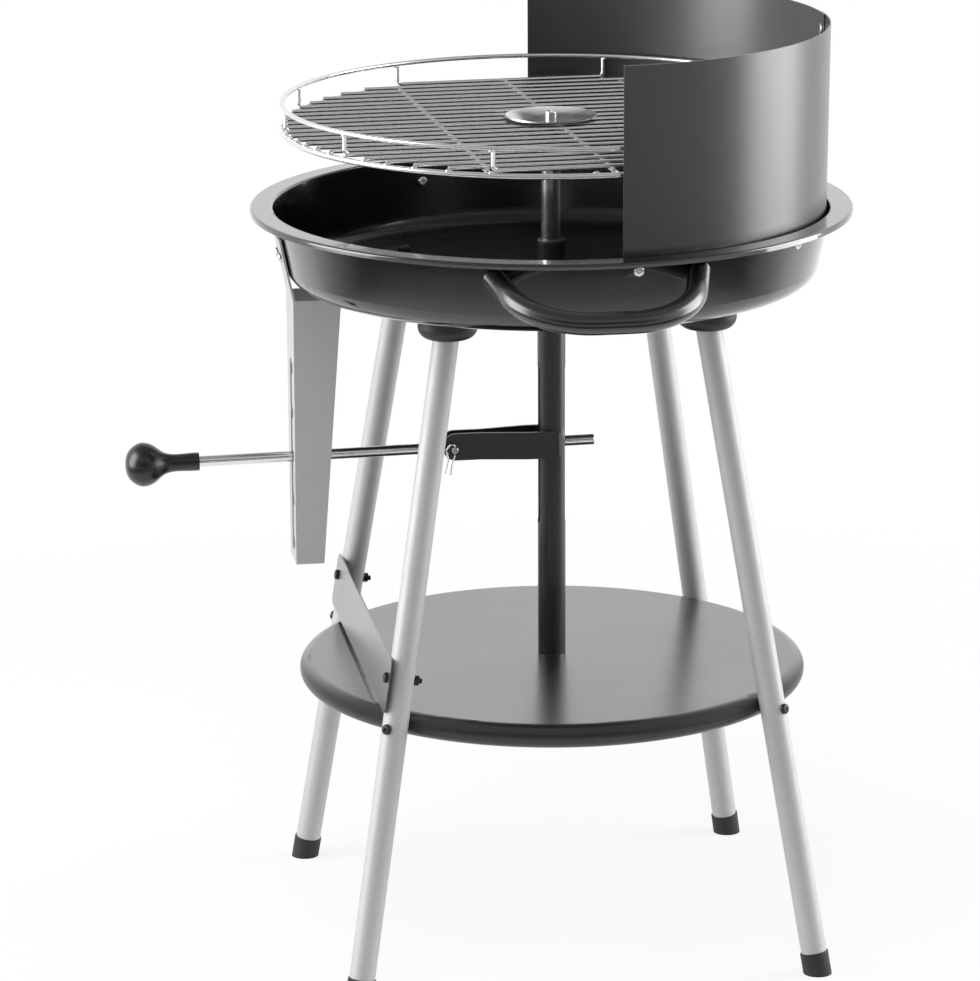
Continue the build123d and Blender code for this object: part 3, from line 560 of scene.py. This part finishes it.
def add_skin(tree, shader, grain, wave, share, strength, depth):
    """A bump from the paint skin group. Depth is in metres."""
    bump = tree.nodes.new("ShaderNodeBump")
    bump.inputs["Strength"].default_value = strength
    bump.inputs["Distance"].default_value = depth
    height = place_group(tree, paint_skin, Grain=grain, Wave=wave, Wave_share=share)
    tree.links.new(height, bump.inputs["Height"])
    tree.links.new(bump.outputs[0], shader.inputs["Normal"])


print("material helpers are ready")

# %% [markdown]
# A Mix node has a set of sockets for each kind of value, so its colour sockets are picked out by their
# type. Wear lays bare steel over a colour, which on the black paints is also a painted edge highlight;
# dust lays grey over it, and flakes multiply it.

# %% Colour helpers
dust_colour = grey(0.22, 0.06)
# Bare steel for edge wear; on the black paints it is also a painted edge highlight.
steel_wear_and_highlight = grey(0.42, 0.02)


def mix_colours(tree, factor, first, second, blend_type="MIX"):
    """Mixes two colours. Each of them, and the factor, is a plain value or a socket."""
    node = tree.nodes.new("ShaderNodeMix")
    node.data_type = "RGBA"
    node.blend_type = blend_type
    feed(tree, node.inputs["Factor"], factor)
    sides = [socket for socket in node.inputs if socket.type == "RGBA"]
    feed(tree, sides[0], first)
    feed(tree, sides[1], second)
    return next(socket for socket in node.outputs if socket.type == "RGBA")


def lay_edge_wear_and_highlight(tree, colour, width, amount):
    """Shows bare steel along rubbed edges, which on black paint is also a painted highlight. Width is in
    metres.
    """
    mask = place_group(tree, edge_wear_and_highlight, Width=width, Amount=amount)
    return mix_colours(tree, mask, colour, steel_wear_and_highlight)


def add_dust(tree, colour, speck, amount):
    """Lays dust on what faces up."""
    mask = place_group(tree, settled_dust, Speck=speck, Amount=amount)
    return mix_colours(tree, mask, colour, dust_colour)


def add_flakes(tree, colour, scale, least):
    """Darkens each small cell of a colour by its own amount, down to the least."""
    flakes = place_group(tree, metal_flake, Scale=scale, Least=least, Most=1.0)
    return mix_colours(tree, 1.0, colour, flakes, "MULTIPLY")


# The second colour is bare steel for edge wear, and on the black paints a painted edge highlight.
for name, colour in (("dust", dust_colour), ("bare steel", steel_wear_and_highlight)):
    print(name, [round(part, 3) for part in colour[:3]])

# %% [markdown]
# ### Black enamel on the bowl
# The bowl is pressed steel with a glossy black coat. It is nearly a black mirror: the rim looks pale
# because it mirrors the white room at a flat angle, and the inside looks black because it mirrors only
# itself. A clear coat over a dark base gives the two reflections that such a glass-like coat has. The
# inside, which is what faces up below the rim, goes without the clear coat and stays duller.

# %% Finish: black enamel
enamel_black = grey(0.003, 0.05)
inside_edge = (0.006, 0.003)
inside_slope = {"From": 0.0, "To": 0.2}
rim_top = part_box("bowl")[1].z

tree, shader = new_finish("black_enamel", Coat_Roughness=0.06, Coat_IOR=1.55)
height = vector_value(tree, "DOT_PRODUCT", coordinates(tree, "Object"), up)
below_rim = map_range(tree, height, rim_top - inside_edge[0], rim_top - inside_edge[1], 1.0, 0.0)
inside = calculate(tree, "MULTIPLY", below_rim, place_group(tree, facing_up, **inside_slope))
tree.links.new(map_range(tree, inside, 0.0, 1.0, 1.0, 0.0), shader.inputs["Coat Weight"])
vary_gloss(tree, shader, scale=14, least=0.12, most=0.22)
add_skin(tree, shader, grain=420, wave=22, share=0.4, strength=0.12, depth=0.0006)
# Lighter edges: wear, and a painted highlight along the rim and the sheet edges.
worn_and_highlit = lay_edge_wear_and_highlight(tree, enamel_black, width=0.0008, amount=0.35)
tree.links.new(add_dust(tree, worn_and_highlit, speck=900, amount=0.06), shader.inputs["Base Color"])
print("finish black_enamel, rim at", round(rim_top, 3), "m")

# %% [markdown]
# ### Satin black paint
# The windscreen, the post with its yoke and the front plate are sprayed with heat paint that dries to
# a satin. A clear coat as rough as the paint itself gives the broad, soft highlight of a satin. The three
# share one recipe and differ in how fine and how dull the coat is.

# %% Finish: satin paints
satin_black = grey(0.015, -0.03)


def satin_paint(slot, least, most, coat, grain):
    """Black paint whose roughness lies between least and most."""
    tree, shader = new_finish(slot, Coat_Weight=coat, Coat_Roughness=least)
    vary_gloss(tree, shader, scale=9, least=least, most=most)
    add_skin(tree, shader, grain, wave=6, share=0.25, strength=0.10, depth=0.0004)
    # Lighter edges: wear, and a painted highlight along the sheet edges.
    worn_and_highlit = lay_edge_wear_and_highlight(tree, satin_black, width=0.0007, amount=0.5)
    tree.links.new(add_dust(tree, worn_and_highlit, speck=1000, amount=0.2), shader.inputs["Base Color"])
    print("finish", slot)


satin_paint("screen_paint", least=0.30, most=0.36, coat=0.6, grain=1600)
satin_paint("satin_black_paint", least=0.28, most=0.36, coat=0.3, grain=1400)
satin_paint("plate_paint", least=0.26, most=0.32, coat=1.0, grain=1600)

# %% [markdown]
# ### Silver paint on the legs and the bracket
# Aluminium paint is half metal, half lacquer: flakes in a clear film. A full metal would mirror the
# room like foil. A half metallic base with fine cells of brightness, and a roughness that blurs the room
# to soft bands, gives its dull silver.

# %% Finish: silver paint
silver = grey(0.55, -0.02)

tree, shader = new_finish("silver_paint", Metallic=0.5, Coat_Weight=0.15, Coat_Roughness=0.3)
vary_gloss(tree, shader, scale=30, least=0.58, most=0.66)
add_skin(tree, shader, grain=2200, wave=30, share=0.2, strength=0.10, depth=0.0003)
flaked = add_flakes(tree, silver, scale=2600, least=0.82)
# On the silver the bare-steel edges are darker than the paint: wear only, no painted highlight.
tree.links.new(lay_edge_wear_and_highlight(tree, flaked, width=0.0006, amount=0.4), shader.inputs["Base Color"])
print("finish silver_paint")

# %% [markdown]
# ### Lacquered board
# The shelf is a round board with black lacquer. At this flat angle it mirrors the white room softly,
# with the post and a leg as dark streaks, so the lacquer is a blurred clear coat with slow waves. The
# coat lies on the face alone, because a shiny edge would mirror the floor and look pale.

# %% Finish: lacquered board
board_black = grey(0.020)

tree, shader = new_finish("black_board", Coat_Roughness=0.22, Coat_IOR=1.75)
tree.links.new(place_group(tree, facing_up), shader.inputs["Coat Weight"])
vary_gloss(tree, shader, scale=10, least=0.28, most=0.34)
add_skin(tree, shader, grain=1200, wave=8, share=0.6, strength=0.08, depth=0.0006)
tree.links.new(add_dust(tree, board_black, speck=800, amount=0.15), shader.inputs["Base Color"])
print("finish black_board")

# %% [markdown]
# ### Bright metal
# The wires and the lift tube are chrome plated, and the disc, the rod and most fasteners are bright
# zinc. Both are full metals, whose colour is the share of the room that they mirror. Drawn wire keeps a
# softer gloss than a flat disc, and zinc shows its crystals a little more, so it takes larger cells.

# %% Finish: chrome and zinc
plated_tint = -0.015


def bright_metal(slot, level, least, most, cell, spread):
    """A plated metal of a given brightness, whose crystals differ by the spread."""
    tree, shader = new_finish(slot, Metallic=1.0)
    vary_gloss(tree, shader, scale=60, least=least, most=most)
    crystals = add_flakes(tree, grey(level, plated_tint), scale=cell, least=1 - spread)
    tree.links.new(crystals, shader.inputs["Base Color"])
    print("finish", slot)


bright_metal("chrome_wire", level=0.86, least=0.22, most=0.28, cell=700, spread=0.02)
bright_metal("zinc", level=0.82, least=0.18, most=0.26, cell=500, spread=0.05)

# %% [markdown]
# ### Black fasteners, plastic and rubber
# The leg screws are blackened steel. The sockets, the plug and the bush are moulded plastic with a
# fine grain, the handles and the knob a smoother, darker one with a satin skin, and the feet are dull
# rubber. All are dark and differ only in gloss and grain, so one function makes them.

# %% Finish: dark mouldings
def dark_moulding(slot, level, least, most, coat, grain, strength, metallic=0.0):
    """A dark moulded or blackened piece. Strength is that of its grain."""
    tree, shader = new_finish(slot, Coat_Weight=coat, Coat_Roughness=least, Metallic=metallic)
    vary_gloss(tree, shader, scale=45, least=least, most=most)
    add_skin(tree, shader, grain, wave=25, share=0.3, strength=strength, depth=0.0004)
    tree.links.new(add_dust(tree, grey(level), speck=1100, amount=0.25), shader.inputs["Base Color"])
    print("finish", slot)


dark_moulding(
    "black_screws", level=0.03, least=0.30, most=0.42, coat=0.0, grain=1800, strength=0.1, metallic=0.6
)
dark_moulding("black_plastic", level=0.016, least=0.42, most=0.52, coat=0.0, grain=1500, strength=0.25)
dark_moulding("handle_plastic", level=0.004, least=0.24, most=0.28, coat=1.0, grain=1100, strength=0.06)
dark_moulding("knob_plastic", level=0.004, least=0.28, most=0.32, coat=0.3, grain=900, strength=0.04)
dark_moulding("foot_rubber", level=0.014, least=0.55, most=0.70, coat=0.0, grain=900, strength=0.3)

# %% [markdown]
# ### From slots to pieces
# The record says which slot each node takes. Reading it from there, instead of listing the nodes again,
# keeps the finishes right when a node is added or renamed.

# %% Put each finish on its pieces
subparts = frame["record"]["subparts"]
node_slots = {subpart["node"]: subpart["material_slot"] for subpart in subparts}
for node, slot in node_slots.items():
    mesh = frame["nodes"][node].data
    mesh.materials.clear()
    mesh.materials.append(slot_materials[slot])
print(len(slot_materials), "finishes on", len(node_slots), "nodes")

# %% [markdown]
# ## Screws
# In the frame each screw is a plain head on a plain pin. A real one has a cross recess and a thread.
# Nothing about the screws is written down here: a piece that was turned on a lathe spreads alike in two
# directions, so the third one, which the points of the mesh give, is its axis, and the wide end is its
# head.

# %% Measure the screws
merge_distance = 1e-6
widest_share = 0.98


def loose_parts(node):
    """The points of each separate solid in a node, in the grill's frame."""
    shape = bmesh.new()
    shape.from_mesh(frame["nodes"][node].data)
    bmesh.ops.remove_doubles(shape, verts=shape.verts, dist=merge_distance)
    parts = []
    seen = set()
    for vert in shape.verts:
        if vert in seen:
            continue
        seen.add(vert)
        part = [vert]
        for member in part:
            for edge in member.link_edges:
                other = edge.other_vert(member)
                if other not in seen:
                    seen.add(other)
                    part.append(other)
        parts.append(np.array([member.co for member in part]))
    shape.free()
    return parts


def measure_screw(points):
    """Where a screw's head sits and which way it points, with its head's and its shank's sizes."""
    middle = points.mean(axis=0)
    spread, directions = np.linalg.eigh(np.cov((points - middle).T))
    axis = directions[:, 2 if spread[1] - spread[0] < spread[2] - spread[1] else 0]
    along = (points - middle) @ axis
    across = np.linalg.norm(points - middle - np.outer(along, axis), axis=1)
    head = along[across > widest_share * across.max()]
    if head.mean() < (along.min() + along.max()) / 2:
        axis, along, head = -axis, -along, -head
    seat = head.min()
    shank = across[along < seat - merge_distance]
    place = Matrix.Translation(Vector(middle + seat * axis))
    turned = Vector(axis).to_track_quat("Z", "Y").to_matrix().to_4x4()
    return place @ turned, across.max(), along.max() - seat, shank.max(), seat - along.min()


for points in loose_parts("windscreen_screws"):
    sizes = measure_screw(points)[1:]
    print("windscreen screw", [round(1000 * size, 2) for size in sizes], "mm")

# %% [markdown]
# A screw is then a stack of rings, from the bottom of the recess over the head and down the shank to
# the tip. The recess is a ring in the shape of a plus, with as many points as the round rings, so the
# two join without a seam. A Boolean could cut the recess as well, but it leaves long thin faces. On
# the thread each point moves in and out with its turn and its height, which winds the ridge round the
# shank.

# %% Rings of a screw
screw_sides = 24
thread_pitch = 0.0008
thread_depth = 0.0004


def round_ring(radius, z):
    """The points of a circle at a height."""
    turns = [2 * math.pi * i / screw_sides for i in range(screw_sides)]
    return [(radius * math.cos(turn), radius * math.sin(turn), z) for turn in turns]


def plus_ring(reach, half, z):
    """A plus with one more point in the middle of each side, starting at its right arm."""
    middle = (reach + half) / 2
    quarter = [(reach, 0), (reach, half), (middle, half), (half, half), (half, middle), (half, reach)]
    points = []
    for i in range(4):
        points += [(x, y, z) for x, y in quarter]
        quarter = [(-y, x) for x, y in quarter]
    return points


def thread_ring(radius, z):
    """A ring of the thread: its points lie on a ridge that climbs one pitch in a turn."""
    points = []
    for i, (x, y, level) in enumerate(round_ring(1.0, z)):
        phase = (level / thread_pitch - i / screw_sides) % 1.0
        size = radius - thread_depth * abs(2 * phase - 1)
        points.append((size * x, size * y, level))
    return points


print("rings of", len(round_ring(1.0, 0.0)), "and", len(plus_ring(1.0, 0.3, 0.0)), "points")

# %% [markdown]
# The recess and the rounding are shares of the head, so one recipe fits every size. The threaded end is
# at most 6 mm long: on the longer bolts the rest of the shank stays plain, as on real ones.

# %% Stack of rings for one screw
recess_reach = 0.46
recess_half = 0.13
recess_depth = 0.5
recess_taper = 0.7
head_rounding = 0.6
rounding_steps = 4
thread_length = 0.006
thread_steps = 6


def screw_rings(head_radius, head_height, shank_radius, shank_length):
    """All the rings of a screw whose head sits on the level 0 and points up."""
    reach = recess_reach * head_radius
    half = recess_half * head_radius
    bottom = head_height * (1 - recess_depth)
    rounding = min(head_rounding * head_height, (1 - recess_reach) * head_radius * head_rounding)
    rings = [plus_ring(recess_taper * reach, recess_taper * half, bottom)]
    rings.append(plus_ring(reach, half, head_height))
    for step in range(rounding_steps + 1):
        turn = math.pi / 2 * step / rounding_steps
        radius = head_radius - rounding * (1 - math.sin(turn))
        rings.append(round_ring(radius, head_height - rounding * (1 - math.cos(turn))))
    rings += [round_ring(head_radius, 0), round_ring(shank_radius, 0)]
    threaded = min(thread_length, shank_length - thread_pitch)
    count = int(thread_steps * threaded / thread_pitch)
    start = -shank_length + (count + 1) * thread_pitch / thread_steps
    rings.append(round_ring(shank_radius, start))
    for step in range(count + 1):
        rings.append(thread_ring(shank_radius, start - step * thread_pitch / thread_steps))
    rings.append(round_ring(shank_radius - 2 * thread_depth, -shank_length))
    return rings


def add_rings(shape, place, rings):
    """Joins rings of points into a closed skin."""
    loops = [[shape.verts.new(place @ Vector(point)) for point in ring] for ring in rings]
    for upper, lower in zip(loops, loops[1:]):
        for i in range(len(upper)):
            shape.faces.new((upper[i - 1], lower[i - 1], lower[i], upper[i]))
    shape.faces.new(loops[0])
    shape.faces.new(reversed(loops[-1]))


print("one screw is", len(screw_rings(*sizes)), "rings")

# %% [markdown]
# Each group of screws becomes one piece. It rides on the body of the plain screws and replaces them. No
# two screws are tightened to the same angle, so each is turned a little further than the one before.

# %% Build the screws
screw_turn = 0.7
screw_smooth = 35.0
screw_bodies = {
    "windscreen_screws": "stand",
    "bracket_screws": "stand",
    "handle_bolts": "stand",
    "shelf_screws": "stand",
    "plate_bolts": "stand",
    "socket_bolts": "stand",
    "post_bolt": "stand",
    "disc_screw": "lift",
}


def finish_piece(name, shape, body, slot, smooth_angle):
    """Turns a bmesh into a piece that rides on a body and takes a slot's finish."""
    bmesh.ops.recalc_face_normals(shape, faces=shape.faces)
    mesh = bpy.data.meshes.new(name)
    shape.to_mesh(mesh)
    shape.free()
    mesh.shade_smooth()
    mesh.set_sharp_from_angle(angle=math.radians(smooth_angle))
    mesh.materials.append(slot_materials[slot])
    piece = bpy.data.objects.new(name, mesh)
    scene.collection.objects.link(piece)
    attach(piece, body)
    return piece


for node, body in screw_bodies.items():
    shape = bmesh.new()
    measures = [measure_screw(points) for points in loose_parts(node)]
    for i, (place, *sizes) in enumerate(measures):
        add_rings(shape, place @ Matrix.Rotation(i * screw_turn, 4, "Z"), screw_rings(*sizes))
    piece = finish_piece(node + "_cut", shape, body, node_slots[node], screw_smooth)
    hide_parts(node)
    print(piece.name, "with", len(measures), "screws")

# %% [markdown]
# ## Welds
# The grate's wires are welded where they touch, and the yoke's plates are welded to the post. A weld is
# a flat, slightly uneven bead. Modelled once and copied, all beads would look alike. So one function
# makes a bead of a given size, and a noise that is read at each point of it makes no two the same.

# %% Weld beads
bead_detail = 2
bead_roughness = 0.18
bead_grain = 400.0
bead_smooth = 60.0


def add_bead(shape, place, half_sizes):
    """An uneven, flattened bead. Half sizes are along its own three axes."""
    scaled = place @ Matrix.Diagonal((*half_sizes, 1))
    made = bmesh.ops.create_icosphere(shape, subdivisions=bead_detail, radius=1.0, matrix=scaled)
    middle = place.translation
    for vert in made["verts"]:
        swell = 1 + bead_roughness * noise.noise(vert.co * bead_grain)
        vert.co = middle + (vert.co - middle) * swell


trial = bmesh.new()
add_bead(trial, Matrix.Identity(4), (0.003, 0.003, 0.001))
print("a bead has", len(trial.verts), "points")
trial.free()

# %% [markdown]
# The places of the beads come from the wires themselves. Seen from above every wire is a straight
# line, so a bar and a cross wire are welded where their lines cross, and a bar and the ring where the
# bar ends. The middle bar is in two halves that stop over the hub, and each half has one such end.

# %% Measure the wires
end_reach = 0.0005

ring_low, ring_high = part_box("grate_ring")
rail_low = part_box("grate_rail")[0]
ring_middle = ring_high.x - (ring_high.z - ring_low.z) / 2
straight_bars = loose_parts("grate_bars")
riser_bars = loose_parts("grate_riser_bars")
cross_wires = loose_parts("grate_cross_wires")


def flat_ends(points):
    """The middles of a wire's two ends, seen from above."""
    flat = points[:, :2]
    middle = flat.mean(axis=0)
    directions = np.linalg.eigh(np.cov((flat - middle).T))[1]
    along = (flat - middle) @ directions[:, 1]
    near_first = along > along.max() - end_reach
    near_last = along < along.min() + end_reach
    return Vector(flat[near_first].mean(axis=0)), Vector(flat[near_last].mean(axis=0))


def ring_ends(points):
    """The ends of a wire that reach the ring."""
    return [end for end in flat_ends(points) if end.length > ring_middle / 2]


print(len(straight_bars), "straight bars,", len(riser_bars), "risers,", len(cross_wires), "cross wires")

# %% [markdown]
# The bars with bent-up ends are also welded to the rail above them. All beads of the grate are one
# piece, which turns with it.

# %% Welds on the grate
cross_bead = (0.0029, 0.0029, 0.0011)
ring_bead = (0.0030, 0.0030, 0.0013)
rail_bead = (0.0026, 0.0026, 0.0015)

shape = bmesh.new()
count = 0
for points in straight_bars + riser_bars:
    for wire in cross_wires:
        crossing = geometry.intersect_line_line_2d(*flat_ends(points), *flat_ends(wire))
        if crossing is not None:
            contact = (points[:, 2].min() + wire[:, 2].max()) / 2
            add_bead(shape, Matrix.Translation((*crossing, contact)), cross_bead)
            count += 1
    for end in ring_ends(points):
        seat = end.normalized() * min(end.length, ring_middle)
        add_bead(shape, Matrix.Translation((*seat, ring_high.z)), ring_bead)
        count += 1
for points in riser_bars:
    for end in ring_ends(points):
        seat = end.normalized() * ring_middle
        add_bead(shape, Matrix.Translation((*seat, rail_low.z)), rail_bead)
        count += 1
piece = finish_piece("grate_welds", shape, "grate", "chrome_wire", bead_smooth)
print(piece.name, "with", count, "beads")

# %% [markdown]
# The yoke's two plates end on the post's flanks, and a short seam runs down each end: a row of beads
# that overlap like a leaning stack of coins. The paint goes over them.

# %% Welds on the yoke
seam_bead = (0.0017, 0.0015, 0.0013)
seam_step = 0.0016
seam_short = 0.0028
seam_out = 0.0005

post_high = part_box("post_tube")[1]
shape = bmesh.new()
for side, node in ((1, "yoke_plate_right"), (-1, "yoke_plate_left")):
    plate_low, plate_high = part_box(node)
    seam_length = plate_high.z - plate_low.z - 2 * seam_short
    for i in range(int(seam_length / seam_step) + 1):
        z = plate_low.z + seam_short + i * seam_step
        place = (side * (post_high.x + seam_out), plate_high.y + seam_out, z)
        add_bead(shape, Matrix.Translation(place), seam_bead)
piece = finish_piece("yoke_welds", shape, "stand", "satin_black_paint", bead_smooth)
print(piece.name, "with", len(piece.data.vertices), "points")
